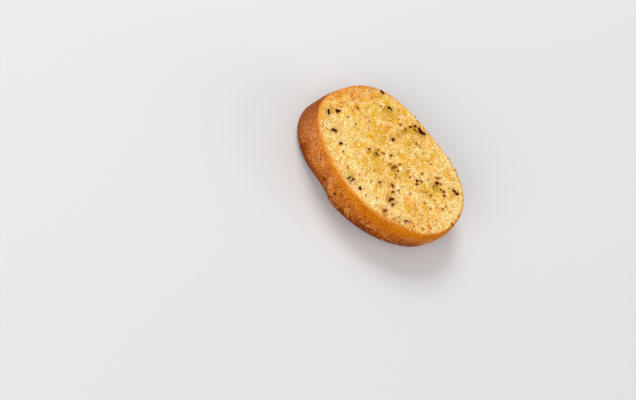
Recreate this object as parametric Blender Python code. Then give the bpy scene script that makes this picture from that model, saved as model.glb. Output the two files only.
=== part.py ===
"""One thick slice of garlic bread, lying on its cut underside with the buttered face up.

Metres, +Z up. X runs along the slice, Y across it, and the origin is under the middle of its box.
The slice is one solid: crumb, crust and the herb flakes that are baked onto its face.
"""

import math
import random

import bpy
import numpy as np

# Driving dimensions
HALF_LENGTH = 0.0540  # of the cut face, middle to end
HALF_WIDTH = 0.0365  # of the cut face, middle to side
SQUARENESS = 2.2  # of the face's outline: 2 is an ellipse, more is boxier
THICKNESS = 0.0240
CRUST_BULGE = 0.0022  # how far the crust stands out past the rim of the face
RIM_ROLL = 0.0018  # how far the cut faces stop inside that rim
CRUST_FULLNESS = 2.6  # of the crust's section: 2 is a half ellipse, more is squarer
SLANT = 0.0032  # the base lies this much further to -X than the face, as the loaf was cut askew

# The outline's unevenness: lobes round it, their share of the radius, where the first one points
LOBES = ((2, 0.0175, 45), (3, 0.0120, 22), (4, 0.0090, 24), (5, 0.0130, 52))

# Relief of the cut face and of the crust: heights, and the usual width of a swelling
FACE_DOME = 0.0007  # rise of the face from its rim to its middle
FACE_LUMP, FACE_LUMP_SIZE = 0.00030, 0.012
CRUST_LUMP, CRUST_LUMP_SIZE = 0.00035, 0.014
WAVES = 22  # cosines that make up the swellings
HOLES, HOLE_RADIUS, HOLE_DEPTH = 26, 0.0022, 0.0008  # larger holes of the crumb
HOLE_SIZES = (0.7, 1.3)  # smallest and largest, as shares of those sizes
HOLE_MARGIN = 0.88  # holes keep inside this share of the outline

# The tear where the crust split in baking, in degrees round the slice: where it leaves the face,
# how far it has swept towards +X at the base, and its width
TEAR_TURN, TEAR_SWEEP, TEAR_WIDTH = -108.5, 15, 4
TEAR_DEPTH, TEAR_SHOULDER = 0.0013, 0.0010  # its depth, and how proud the crust stands past it
SHOULDER_LENGTH = 5  # how far that shoulder runs on, in widths of the tear

# Where the crust draws in towards the base: the loaf's flattened corner, and the hollow before the
# tear. Middle and spread in degrees round the slice, and depth at the base
CORNER_TURN, CORNER_SPREAD, CORNER_DEPTH = 169, 26, 0.0050
HOLLOW_TURN, HOLLOW_SPREAD, HOLLOW_DEPTH = -104, 14, 0.0030

# Large herb flakes: middle x, y, length and width in millimetres, and turn in degrees
LARGE_FLAKES = (
    (-0.5, 31, 6.2, 2.4, 6), (-5.5, 30, 2.4, 1.1, 50), (-7, 27, 1.8, 1.2, 56), (-4, 28, 1.5, 1.1, 28),
    (-34, 28.5, 3.6, 1.5, 177), (-23.5, 24, 3.6, 1.2, 4), (-8, 11, 2.2, 2.0, 44),
    (-45.5, -12, 4.1, 1.3, 138), (-42.5, -6.5, 2.6, 2.0, 35), (-35, -17.5, 3.8, 1.6, 23),
    (-26.5, -20.5, 1.8, 1.6, 54), (5, -1.5, 2.8, 0.9, 49), (4.5, -4, 1.8, 1.0, 69),
    (6, 2.5, 1.8, 0.8, 78), (-5.5, -1.5, 1.7, 0.9, 32), (-1.5, 1.5, 1.7, 1.0, 22),
    (-8.5, -5.5, 1.8, 1.1, 43), (-13, -7.5, 1.8, 1.1, 55), (27, 17, 2.5, 1.0, 39),
    (29, 14, 2.8, 1.8, 55), (33.5, 13.5, 1.5, 1.1, 55), (35.5, 14, 1.8, 1.4, 38),
    (37.5, 12, 1.7, 1.4, 131), (20, 4, 2.0, 1.5, 38), (21.5, 2, 1.9, 1.3, 74),
    (12.5, -12.5, 2.9, 1.6, 151), (15.5, -15, 2.0, 1.3, 49), (6, -18, 2.5, 1.1, 64),
    (18, -19.5, 4.2, 1.6, 71), (21, -21, 2.3, 1.6, 64), (20.5, -28, 3.3, 1.1, 73),
    (33.5, -21.5, 2.9, 1.1, 56), (39, 20.5, 2.2, 1.9, 5), (41.5, 20.5, 2.8, 1.7, 18),
    (23, -6, 2.2, 0.7, 9), (-5.5, -31.5, 4.8, 0.9, 89), (-8, -32.5, 3.1, 0.8, 89),
    (-13, -28, 2.6, 1.1, 151), (1, -31, 2.4, 2.0, 162),
)
# Dots of herb that show from a step away: middle x, y in millimetres, their length and slimness
DOTS = (
    (-36, 6), (-46, -8), (-8, 23), (-8, 20), (-12, 22), (-15, 24), (3, 22), (6, 23), (-12, -10), (-7, -5),
    (-9, -3), (2, -3), (8, -2), (9, -5), (19, 10), (18, 20), (31, 16), (29, 11), (22, 6), (28, -27),
    (29, -23), (-22, -23), (12, -27), (33, -3), (43, 8), (32, 5), (10, -7), (-29, 7),
)
DOT_LENGTH, DOT_SLIMNESS = (0.0011, 0.0016), (0.60, 0.90)
# Smaller ones, scattered between those by a rule
SMALL_FLAKES = 10
SMALL_LENGTH, SMALL_SLIMNESS = (0.0009, 0.0012), (0.60, 0.95)
FLAKE_MARGIN = 0.90  # they keep inside this share of the outline
FLAKE_TRIES = 8  # places tried for each of them
FLAKE_THICKNESS = 0.0006
FLAKE_SUNK = 0.0002  # how deep a flake's underside lies in the crumb
FLAKE_SIDES = 6
FLAKE_BEND, FLAKE_LEAN = (0.02, 0.09), 0.18  # rise of the tips as a share of length, slope sideways
FLAKE_RAGGED = (0.82, 1.12)
FLAKE_TIP, FLAKE_RIB = 0.35, 1.2  # how much thinner the tips are, how much thicker the middle

# Fineness of the mesh, and where the random draws start
FACE_CELLS = 38  # along the face, and as many across it
CRUST_ROWS = 10
SEED = 7


def lumps(x, y, z, size, seed):
    """Gentle unevenness about 0, with waves near the given size: a sum of cosines in seeded directions."""
    draw = np.random.default_rng(seed)
    way = draw.normal(size=(WAVES, 3))
    way /= np.linalg.norm(way, axis=1)[:, None]
    length = size * draw.uniform(0.7, 1.9, WAVES)
    phase = draw.uniform(0, 2 * np.pi, WAVES)
    along = (x[..., None] * way[:, 0] + y[..., None] * way[:, 1] + z[..., None] * way[:, 2]) / length
    return np.cos(2 * np.pi * along + phase).sum(axis=-1) * math.sqrt(2 / WAVES)


def outline(turn):
    """The rim of the face at each turn round its middle: a rounded oblong times its lobes."""
    across, up = np.cos(turn), np.sin(turn)
    size = (np.abs(across) ** SQUARENESS + np.abs(up) ** SQUARENESS) ** (-1 / SQUARENESS)
    for count, height, first in LOBES:
        size = size * (1 + height * np.cos(count * (turn - math.radians(first))))
    return HALF_LENGTH * across * size, HALF_WIDTH * up * size


def outwards(turn):
    """The level direction that points straight out of the crust at each turn."""
    x, y = HALF_WIDTH * np.cos(turn), HALF_LENGTH * np.sin(turn)
    size = np.hypot(x, y)
    return x / size, y / size


def share_of_rim(x, y):
    """0 in the middle of the face, 1 on its rim."""
    turn = np.arctan2(y / HALF_WIDTH, x / HALF_LENGTH)
    return np.hypot(x, y) / np.hypot(*outline(turn))


def spot_on_face(draw, margin):
    """A place drawn evenly over the face, inside the given share of its outline."""
    turn, share = draw.uniform(0, 2 * math.pi), margin * math.sqrt(draw.random())
    x, y = outline(np.array(turn))
    return share * float(x), share * float(y)


def crumb_holes():
    """Middle, radius and depth of each of the crumb's larger holes."""
    draw = random.Random(SEED)
    holes = []
    for _ in range(HOLES):
        x, y = spot_on_face(draw, HOLE_MARGIN)
        size = draw.uniform(*HOLE_SIZES)
        holes.append((x, y, size * HOLE_RADIUS, size * HOLE_DEPTH))
    return holes


def face_height(x, y):
    """Height of the buttered face: its dome and swellings, less its holes, all fading out at the rim."""
    inside = np.clip(1 - share_of_rim(x, y) ** 2, 0, 1)
    relief = FACE_LUMP * lumps(x, y, 0 * x, FACE_LUMP_SIZE, SEED)
    for hole_x, hole_y, radius, depth in crumb_holes():
        relief = relief - depth * np.exp(-((x - hole_x) ** 2 + (y - hole_y) ** 2) / radius**2)
    return THICKNESS + FACE_DOME * inside + relief * np.sqrt(inside)


def past_turn(turn, middle):
    """Angle from the middle of a stretch of the outline, in radians, between half a turn each way."""
    return (turn - middle + np.pi) % (2 * np.pi) - np.pi


def crust_relief(turn, level):
    """How far the crust stands out at each turn and level (1 at the face, 0 at the base)."""
    x, y = outline(turn)
    swell = CRUST_LUMP * lumps(x, y, level * THICKNESS, CRUST_LUMP_SIZE, SEED + 1)
    middle = np.radians(TEAR_TURN + TEAR_SWEEP * (1 - level) ** 2)
    past = past_turn(turn, middle) / math.radians(TEAR_WIDTH)
    tear = TEAR_DEPTH * np.exp(-(past**2))
    shoulder = TEAR_SHOULDER * np.where(past > 0, np.tanh(past) * np.exp(-past / SHOULDER_LENGTH), 0)
    down = np.clip(1 - level, 0, 1)
    from_corner = past_turn(turn, math.radians(CORNER_TURN)) / math.radians(CORNER_SPREAD)
    corner = CORNER_DEPTH * np.exp(-(from_corner**2)) * np.sqrt(down)
    from_hollow = past_turn(turn, math.radians(HOLLOW_TURN)) / math.radians(HOLLOW_SPREAD)
    hollow = HOLLOW_DEPTH * np.exp(-(from_hollow**2)) * down * (1 - np.tanh(1.5 * past)) / 2
    return (swell - tear + shoulder) * np.sin(np.pi * level) - corner - hollow


def crust(turn, section):
    """The crust from the face (section 0) to the base (1): a half superellipse carried round the outline."""
    angle = np.pi * (0.5 - section)
    power = 2 / CRUST_FULLNESS
    level = 0.5 + 0.5 * np.sign(np.sin(angle)) * np.abs(np.sin(angle)) ** power
    out = (CRUST_BULGE + RIM_ROLL) * np.abs(np.cos(angle)) ** power - RIM_ROLL
    out = out + crust_relief(turn, level)
    x, y = outline(turn)
    side_x, side_y = outwards(turn)
    height = level * THICKNESS + 0 * out
    return np.stack([x + side_x * out - SLANT * (1 - level), y + side_y * out, height], axis=-1)


def face_grid():
    """A square grid laid over a disc: each point's turn round the middle and its share of the radius."""
    side = np.linspace(-1, 1, FACE_CELLS + 1)
    u, v = np.meshgrid(side, side, indexing="ij")
    across, up = u * np.sqrt(1 - v * v / 2), v * np.sqrt(1 - u * u / 2)
    return np.arctan2(up, across), np.hypot(across, up)


def material(name, colour, roughness):
    made = bpy.data.materials.new(name)
    made.use_nodes = True
    shader = made.node_tree.nodes["Principled BSDF"]
    shader.inputs["Base Color"].default_value = (*colour, 1)
    shader.inputs["Roughness"].default_value = roughness
    return made


def slice_body(crumb, crust_skin):
    """Crumb and crust as one closed mesh: a face and a base on the same grid, joined by rows of crust."""
    turn, share = face_grid()
    rim_x, rim_y = outline(turn)
    side_x, side_y = outwards(turn)
    x = share * (rim_x - side_x * RIM_ROLL)
    y = share * (rim_y - side_y * RIM_ROLL)
    face = np.stack([x, y, face_height(x, y)], axis=-1).reshape(-1, 3)
    edge = crust(turn, np.ones_like(turn))
    base_x = share * (edge[..., 0] + SLANT) - SLANT
    base = np.stack([base_x, share * edge[..., 1], 0 * x], axis=-1).reshape(-1, 3)

    index = np.arange(len(face)).reshape(FACE_CELLS + 1, FACE_CELLS + 1)
    rim = np.concatenate([index[:-1, 0], index[-1, :-1], index[:0:-1, -1], index[0, :0:-1]])
    cells = np.stack([index[:-1, :-1], index[1:, :-1], index[1:, 1:], index[:-1, 1:]], axis=-1).reshape(-1, 4)
    face[rim, 2] = THICKNESS
    sections = np.linspace(0, 1, CRUST_ROWS + 1)[1:-1]
    wall = crust(turn.reshape(-1)[rim], sections[:, None])

    rows = [rim]
    rows += list(len(face) + len(base) + np.arange(wall[..., 0].size).reshape(len(sections), len(rim)))
    rows += [len(face) + rim]
    faces = [cells, len(face) + cells[:, ::-1]]
    for upper, lower in zip(rows[:-1], rows[1:]):
        faces.append(np.stack([upper, lower, np.roll(lower, -1), np.roll(upper, -1)], axis=-1))

    mesh = bpy.data.meshes.new("garlic_bread_slice")
    points = np.concatenate([face, base, wall.reshape(-1, 3)])
    mesh.from_pydata(points.tolist(), [], np.concatenate(faces).tolist())
    mesh.materials.append(crumb)
    mesh.materials.append(crust_skin)
    for polygon in mesh.polygons[2 * len(cells):]:
        polygon.material_index = 1
    mesh.shade_smooth()
    body = bpy.data.objects.new("garlic_bread_slice", mesh)
    bpy.context.scene.collection.objects.link(body)
    return body


def flake_places():
    """Middle, length, width and turn of every flake: large ones, dots, then small ones between them."""
    places = [(*(size / 1000 for size in sizes), math.radians(turn)) for *sizes, turn in LARGE_FLAKES]
    draw = random.Random(SEED + 2)

    def add(x, y, lengths, slimness):
        length = draw.uniform(*lengths)
        places.append((x, y, length, length * draw.uniform(*slimness), draw.uniform(0, math.pi)))

    for x, y in DOTS:
        add(x / 1000, y / 1000, DOT_LENGTH, DOT_SLIMNESS)
    for _ in range(SMALL_FLAKES):
        spots = [spot_on_face(draw, FLAKE_MARGIN) for _ in range(FLAKE_TRIES)]
        spots.sort(key=lambda spot: min(math.dist(spot, place[:2]) for place in places))
        add(*spots[FLAKE_TRIES // 2], SMALL_LENGTH, SMALL_SLIMNESS)
    return places


def herb_flake(place, number, herb):
    """One chip of dried leaf: a ragged plate, thick in the middle, bent, tilted and sunk a little in."""
    x, y, length, width, turn = place
    draw = random.Random(SEED + 100 + number)
    bend, lean = length * draw.uniform(*FLAKE_BEND), draw.uniform(-FLAKE_LEAN, FLAKE_LEAN)
    ground = float(face_height(np.array(x), np.array(y))) + FLAKE_THICKNESS / 2 - FLAKE_SUNK
    points = []
    for side in (1, -1):
        for step in range(FLAKE_SIDES):
            angle = 2 * math.pi * step / FLAKE_SIDES
            size = draw.uniform(*FLAKE_RAGGED) / 2
            along, over = size * length * math.cos(angle), size * width * math.sin(angle)
            rise = side * FLAKE_THICKNESS / 2 * (1 - FLAKE_TIP * abs(math.cos(angle)))
            rise += bend * (2 * along / length) ** 2 + lean * over
            spot_x = x + along * math.cos(turn) - over * math.sin(turn)
            spot_y = y + along * math.sin(turn) + over * math.cos(turn)
            points.append((spot_x, spot_y, ground + rise))
        points.append((x, y, ground + side * FLAKE_THICKNESS / 2 * FLAKE_RIB))
    top, under = FLAKE_SIDES, 2 * FLAKE_SIDES + 1
    faces = []
    for step in range(FLAKE_SIDES):
        after = (step + 1) % FLAKE_SIDES
        faces.append((top, step, after))
        faces.append((under, top + 1 + after, top + 1 + step))
        faces.append((step, top + 1 + step, top + 1 + after, after))
    mesh = bpy.data.meshes.new("flake")
    mesh.from_pydata(points, [], faces)
    mesh.materials.append(herb)
    return bpy.data.objects.new("flake", mesh)


def fuse(body, flakes):
    """Joins the flakes to the slice by one Boolean union, then removes them."""
    group = bpy.data.collections.new("flakes")
    bpy.context.scene.collection.children.link(group)
    for flake in flakes:
        group.objects.link(flake)
    union = body.modifiers.new("flakes", "BOOLEAN")
    union.operation = "UNION"
    union.operand_type = "COLLECTION"
    union.collection = group
    union.solver = "MANIFOLD"
    bpy.context.view_layer.update()
    joined = bpy.data.meshes.new_from_object(body.evaluated_get(bpy.context.evaluated_depsgraph_get()))
    body.modifiers.remove(union)
    body.data = joined
    for flake in flakes:
        bpy.data.objects.remove(flake)
    bpy.data.collections.remove(group)


def centre(body):
    """Moves the mesh so that the middle of its box is over the origin."""
    points = np.array([vertex.co for vertex in body.data.vertices])
    points[:, :2] -= (points[:, :2].min(axis=0) + points[:, :2].max(axis=0)) / 2
    body.data.vertices.foreach_set("co", points.ravel())
    body.data.update()


def main():
    for old in list(bpy.data.objects):
        bpy.data.objects.remove(old)
    crumb = material("buttered_crumb", (0.78, 0.52, 0.17), 0.55)
    crust_skin = material("baked_crust", (0.46, 0.19, 0.05), 0.50)
    herb = material("dried_herb", (0.07, 0.05, 0.015), 0.70)
    body = slice_body(crumb, crust_skin)
    fuse(body, [herb_flake(place, number, herb) for number, place in enumerate(flake_places())])
    centre(body)


main()
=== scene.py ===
import math
import random

import bpy
import mathutils
import numpy as np
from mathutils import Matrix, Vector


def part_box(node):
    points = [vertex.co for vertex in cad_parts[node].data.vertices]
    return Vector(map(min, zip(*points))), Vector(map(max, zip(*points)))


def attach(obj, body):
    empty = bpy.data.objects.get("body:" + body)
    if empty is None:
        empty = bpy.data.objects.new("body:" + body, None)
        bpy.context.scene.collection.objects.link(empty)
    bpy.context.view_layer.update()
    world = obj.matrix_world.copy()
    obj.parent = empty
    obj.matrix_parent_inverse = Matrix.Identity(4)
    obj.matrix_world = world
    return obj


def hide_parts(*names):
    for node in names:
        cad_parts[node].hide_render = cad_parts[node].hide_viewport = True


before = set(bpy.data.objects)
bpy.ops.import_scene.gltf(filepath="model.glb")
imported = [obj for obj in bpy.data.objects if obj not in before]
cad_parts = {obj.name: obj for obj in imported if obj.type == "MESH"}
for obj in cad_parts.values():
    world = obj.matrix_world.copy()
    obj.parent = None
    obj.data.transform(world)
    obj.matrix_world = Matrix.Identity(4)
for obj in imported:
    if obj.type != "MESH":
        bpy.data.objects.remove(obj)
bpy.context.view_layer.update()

# ---------------------------------------------------------------------------------------------
# The crust and the cut base
# The baked skin of the loaf: a thin, leathery, golden brown rind that stands out a little past
# the cut. It is one closed shell here: a half superellipse carried round the slice's outline,
# from a lip tucked under the crumb's edge, down the side and across the cut underside.

# Lengths in metres. A turn is the angle round the outline from its +X end, in degrees.
HALF_LENGTH, HALF_WIDTH, SQUARENESS = 0.0540, 0.0365, 2.2
LOBES = ((2, 0.0175, 45), (3, 0.0120, 22), (4, 0.0090, 24), (5, 0.0130, 52))  # count, height, turn
THICKNESS, SLANT = 0.0240, 0.0032
CRUST_BULGE, RIM_ROLL, CRUST_FULLNESS = 0.0022, 0.0018, 2.6
CRUST_LUMP, CRUST_LUMP_SIZE = 0.00035, 0.014
TEAR_TURN, TEAR_SWEEP, TEAR_WIDTH = -108.5, 15, 4
TEAR_DEPTH, TEAR_SHOULDER, SHOULDER_LENGTH = 0.0013, 0.0010, 5
CORNER_TURN, CORNER_SPREAD, CORNER_DEPTH = 169, 26, 0.0050
HOLLOW_TURN, HOLLOW_SPREAD, HOLLOW_DEPTH = -104, 14, 0.0030
RIM_RAGGED, RIM_RAGGED_SIZE = 0.00012, 0.0028
RIM_BITES = (  # turn, spread and depth of the rim's broken spots; the points that stand out are below 0
    (97.5, 1.1, 0.00060), (77, 1.5, 0.00040), (61.5, 1.2, 0.00050), (53.0, 1.0, 0.00045), (5.2, 1.0, 0.0012),
    (33, 0.9, 0.0004), (17, 1.0, 0.0005), (128, 1.2, 0.0005), (100.4, 1.0, -0.00070), (92, 0.8, -0.00040),
    (65.6, 1.0, -0.00085), (57.0, 1.0, -0.00075), (8.0, 0.9, -0.00055), (46, 0.7, -0.00040),
    (-9, 1.2, 0.00050), (-14, 1.0, -0.00030), (-21, 1.3, 0.00060), (-27, 1.0, 0.00035), (-31, 1.0, -0.00035),
    (-37, 1.2, 0.00045), (-46, 1.3, 0.00040), (-61, 1.2, 0.00035),
)
WAVES, WAVE_RANGE, SEED = 22, (0.7, 1.9), 7
SEAM = 0.065  # how far round the crust's section the crumb gives way to the skin
CRUST_ROWS, BASE_CELLS = 84, (204, 142)
BASE_PORE_DEPTH, BASE_PORE_SIZE, BASE_STAIN_SIZE = 0.0007, 0.0016, 0.006
WRINKLE, PIT, CREASE, LEAST_SUNK = 0.00045, 0.00035, 0.00022, 0.00015  # how far they sink, or a crease rises
WRINKLE_SIZE, PIT_SIZE, PITTED_SIZE = 0.0040, 0.0011, 0.007
LIP_IN, LIP_DOWN = 0.0035, 0.0030  # where the skin's hidden edge lies, inside the rim and below the face
FOLD_DOWN, FOLD_SHARE = 0.0010, 0.35  # where it folds under: below the face, and how far in towards that edge


def lumps(x, y, z, size, seed):
    """Gentle unevenness about 0: a sum of cosines with waves near the given size, in seeded directions."""
    draw = np.random.default_rng(seed)
    way = draw.normal(size=(WAVES, 3))
    way /= np.linalg.norm(way, axis=1)[:, None]
    length = size * draw.uniform(*WAVE_RANGE, WAVES)
    phase = draw.uniform(0, 2 * np.pi, WAVES)
    total = 0
    for direction, wave, start in zip(way, length, phase):
        along = (x * direction[0] + y * direction[1] + z * direction[2]) / wave
        total = total + np.cos(2 * np.pi * along + start)
    return total * math.sqrt(2 / WAVES)


def dice(i, j, k, seed):
    """A number from 0 to 1 for each whole-number place: the fraction left over by a large sine."""
    return np.modf(np.abs(np.sin(i * 12.9898 + j * 78.233 + k * 37.719 + seed * 4.581) * 43758.5453))[0]


def grain(x, y, z, size, seed):
    """Random swelling from -1 to 1: dice at the corners of a cubic lattice, blended along smooth steps."""
    i, j, k = np.floor(x / size), np.floor(y / size), np.floor(z / size)
    a, b, c = (p * p * (3 - 2 * p) for p in (x / size - i, y / size - j, z / size - k))
    total = 0
    for di, wi in ((0, 1 - a), (1, a)):
        for dj, wj in ((0, 1 - b), (1, b)):
            for dk, wk in ((0, 1 - c), (1, c)):
                total = total + wi * wj * wk * dice(i + di, j + dj, k + dk, seed)
    return 2 * total - 1


def cloud(x, y, z, size, seed, layers=3):
    """Grain at the given size plus ever finer grain, each layer half as wide and half as strong."""
    total = sum(grain(x, y, z, size / 2**n, seed + n) / 2**n for n in range(layers))
    return total / (2 - 2 ** (1 - layers))


def step(low, high, value):
    """0 below low, 1 above high, and an S-shaped rise between them."""
    part = np.clip((value - low) / (high - low), 0, 1)
    return part * part * (3 - 2 * part)


def outline(turn):
    """The rim of the face: a rounded oblong (superellipse) times the loaf's low lobes."""
    across, up = np.cos(turn), np.sin(turn)
    size = (np.abs(across) ** SQUARENESS + np.abs(up) ** SQUARENESS) ** (-1 / SQUARENESS)
    for count, height, first in LOBES:
        size = size * (1 + height * np.cos(count * (turn - math.radians(first))))
    return HALF_LENGTH * across * size, HALF_WIDTH * up * size


def outwards(turn):
    """The level direction that points straight out of the crust: the normal of an oval as long and wide."""
    x, y = HALF_WIDTH * np.cos(turn), HALF_LENGTH * np.sin(turn)
    size = np.hypot(x, y)
    return x / size, y / size


def past_turn(turn, middle):
    """Angle from the middle of a stretch of the outline, in radians, between half a turn each way."""
    return (turn - middle + np.pi) % (2 * np.pi) - np.pi


def near_turn(turn, middle, spread):
    """1 in the middle of a stretch of the outline, falling to 0 like a bell with the given spread."""
    return np.exp(-((past_turn(turn, math.radians(middle)) / math.radians(spread)) ** 2))


def tear_distance(turn, level):
    """Widths of the tear past its middle line, which sweeps towards +X on its way down."""
    middle = np.radians(TEAR_TURN + TEAR_SWEEP * (1 - level) ** 2)
    return past_turn(turn, middle) / math.radians(TEAR_WIDTH)


def crust_relief(turn, level):
    """Swellings, less the tear, plus its proud shoulder, less the drawn-in corner and the hollow before the
    tear. The first three fade to nothing at the rim and the base along a half sine."""
    x, y = outline(turn)
    swell = CRUST_LUMP * lumps(x, y, level * THICKNESS, CRUST_LUMP_SIZE, SEED + 1)
    past = tear_distance(turn, level)
    tear = TEAR_DEPTH * np.exp(-(past**2))
    shoulder = TEAR_SHOULDER * np.where(past > 0, np.tanh(past) * np.exp(-past / SHOULDER_LENGTH), 0)
    down = np.clip(1 - level, 0, 1)
    corner = CORNER_DEPTH * near_turn(turn, CORNER_TURN, CORNER_SPREAD) * np.sqrt(down)
    hollow = HOLLOW_DEPTH * near_turn(turn, HOLLOW_TURN, HOLLOW_SPREAD) * down * (1 - np.tanh(1.5 * past)) / 2
    return (swell - tear + shoulder) * np.sin(np.pi * level) - corner - hollow


def nicks(turn):
    """How far the rim's top edge draws in: a fine raggedness all round, and a bell for each broken spot."""
    x, y = outline(turn)
    broken = sum(depth * near_turn(turn, middle, spread) for middle, spread, depth in RIM_BITES)
    return RIM_RAGGED * (1 + cloud(x, y, 0 * x, RIM_RAGGED_SIZE, 17, 2)) + broken


def browned_nicks(turn):
    """1 at the rim's broken and standing spots on the far side, where they browned, and 0 elsewhere."""
    return step(0.0003, 0.0006, np.abs(nicks(turn))) * step(-0.15, 0.05, np.sin(turn))


def crust(turn, section, sunk=0):
    """Points of the skin from the face (section 0) to the base (1): a half superellipse carried round the
    outline, pushed out by the relief, drawn in where it is sunk, and slanted with the cut."""
    angle = np.pi * (0.5 - section)
    power = 2 / CRUST_FULLNESS
    level = 0.5 + 0.5 * np.sign(np.sin(angle)) * np.abs(np.sin(angle)) ** power
    out = (CRUST_BULGE + RIM_ROLL) * np.abs(np.cos(angle)) ** power - RIM_ROLL
    out = out + crust_relief(turn, level) - sunk
    x, y = outline(turn)
    side_x, side_y = outwards(turn)
    height = level * THICKNESS + 0 * out
    return np.stack([x + side_x * out - SLANT * (1 - level), y + side_y * out, height], axis=-1)


def disc_grid(cells):
    """A square grid laid over a disc, its rows and columns bowed to arcs: each point's turn and share
    of the radius."""
    u, v = np.meshgrid(*(np.linspace(-1, 1, n + 1) for n in cells), indexing="ij")
    across, up = u * np.sqrt(1 - v * v / 2), v * np.sqrt(1 - u * u / 2)
    return np.arctan2(up, across), np.hypot(across, up)


def grid_faces(cells):
    """The grid's quads, facing up, and the indices of its edge in order round it."""
    index = np.arange((cells[0] + 1) * (cells[1] + 1)).reshape(cells[0] + 1, cells[1] + 1)
    quads = np.stack([index[:-1, :-1], index[1:, :-1], index[1:, 1:], index[:-1, 1:]], axis=-1)
    edge = np.concatenate([index[:-1, 0], index[-1, :-1], index[:0:-1, -1], index[0, :0:-1]])
    return quads.reshape(-1, 4), edge


def ring_faces(rows):
    """Quads between each ring of indices and the next one, which lies outside or below it."""
    return [
        np.stack([upper, lower, np.roll(lower, -1), np.roll(upper, -1)], axis=-1)
        for upper, lower in zip(rows[:-1], rows[1:])
    ]


# The way from the crust's own middle to the solid's, so that every piece lies where the solid is
whole_crust = crust(np.linspace(-np.pi, np.pi, 721)[None, :], np.linspace(0.02, 0.98, 97)[:, None])
crust_middle = (whole_crust.min(axis=(0, 1)) + whole_crust.max(axis=(0, 1))) / 2
solid_middle = np.mean(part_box("garlic_bread_slice"), axis=0)
MOVE = (solid_middle - crust_middle) * (1, 1, 0)


def piece(name, points, faces, paint, speckle=1, cap=None):
    """A mesh object: points in the slice's own place, lists of faces, a colour for each point, how strongly
    its material's speckles show there, and an optional flat cap."""
    points = points.reshape(-1, 3) + MOVE
    mesh = bpy.data.meshes.new(name)
    flat_cap = [] if cap is None else [cap.tolist()]
    mesh.from_pydata(points.tolist(), [], np.concatenate(faces).tolist() + flat_cap)
    paint_layer = mesh.color_attributes.new("paint", "FLOAT_COLOR", "POINT")
    opaque = np.concatenate([paint.reshape(-1, 3), np.ones((len(points), 1))], axis=1)
    paint_layer.data.foreach_set("color", opaque.astype(np.float32).ravel())
    speckle_layer = mesh.attributes.new("speckle", "FLOAT", "POINT")
    speckle_layer.data.foreach_set("value", (speckle * np.ones(len(points))).astype(np.float32))
    mesh.shade_smooth()
    made = bpy.data.objects.new(name, mesh)
    bpy.context.scene.collection.objects.link(made)
    return made


def linear(red, green, blue):
    """A colour given as it looks on screen (0 to 255), in the linear light that shaders work in."""
    shown = np.array([red, green, blue]) / 255
    return np.where(shown < 0.0405, shown / 12.92, ((shown + 0.055) / 1.055) ** 2.4)


def blend(first, second, amount):
    """The first colour moved towards the second by the given share of the way."""
    return first + (second - first) * amount[..., None]


RIM_PEACH, RIM_PALE = linear(230, 144, 46), linear(246, 192, 108)
RIM_GOLD, RIM_ORANGE, AMBER = linear(218, 130, 14), linear(212, 128, 40), linear(204, 114, 4)
TAN, DULL_SHADED_TAN, MOTTLED = linear(208, 129, 64), linear(150, 76, 28), linear(192, 102, 16)
BROWN, DARK_BROWN, PEACH_TAN = linear(164, 76, 6), linear(108, 38, 3), linear(220, 146, 84)
PALE_CREASE, BASE_CREAM, BASE_GOLD = linear(222, 148, 70), linear(236, 196, 124), linear(220, 160, 76)
BURNT = linear(48, 6, 0)
AMBER_TURN, AMBER_SPREAD = -58, 42  # where the amber band under the rim is widest
END_TURN, END_SPREAD = 196, 48  # where the loaf's end baked to a matt, peachy tan
DULL_SHADED_TURN, DULL_SHADED_SPREAD = 198, 18  # where the corner of that end is dull and dark up to the rim: partly duller baked crust, partly painted shade
ORANGE_TURN, ORANGE_SPREAD = -12, 16  # where the other end baked orange
CREASED_TURN, CREASED_SPREAD = -64, 30  # where the pale creases show most
BURNT_SPOTS, BURNT_REACH = ((-105.5, 0.39), (-95, 0.56)), 0.0008  # turn and level of two small ones


def creases(x, y, z):
    """Thin pale lines that wander over the skin: where either of two stretched clouds passes through 0,
    in some places only and with small gaps."""
    wide_net = 1 - step(0.01, 0.14, np.abs(cloud(x, y, 1.5 * z, 0.0056, 44, 2)))
    fine_net = 1 - step(0.01, 0.16, np.abs(cloud(x, y, 1.3 * z, 0.0038, 45, 2)))
    places = step(-0.45, 0.15, cloud(x, y, z, 0.007, 47, 2))
    gaps = step(-0.6, 0.2, grain(x, y, z, 0.0015, 48))
    return np.maximum(wide_net, fine_net) * places * gaps


def rim_colour(turn):
    """The rim's own colour: peachy, blended to gold on the low side and at the very end, with amber in the
    middle of the low side, and to pale on the far side."""
    rich = np.maximum(near_turn(turn, -48, 32), 0.6 * near_turn(turn, 164, 34))
    warm = blend(blend(RIM_PEACH, RIM_GOLD, rich), AMBER, 0.7 * near_turn(turn, -52, 12))
    return blend(warm, RIM_PALE, near_turn(turn, 70, 55))


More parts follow.
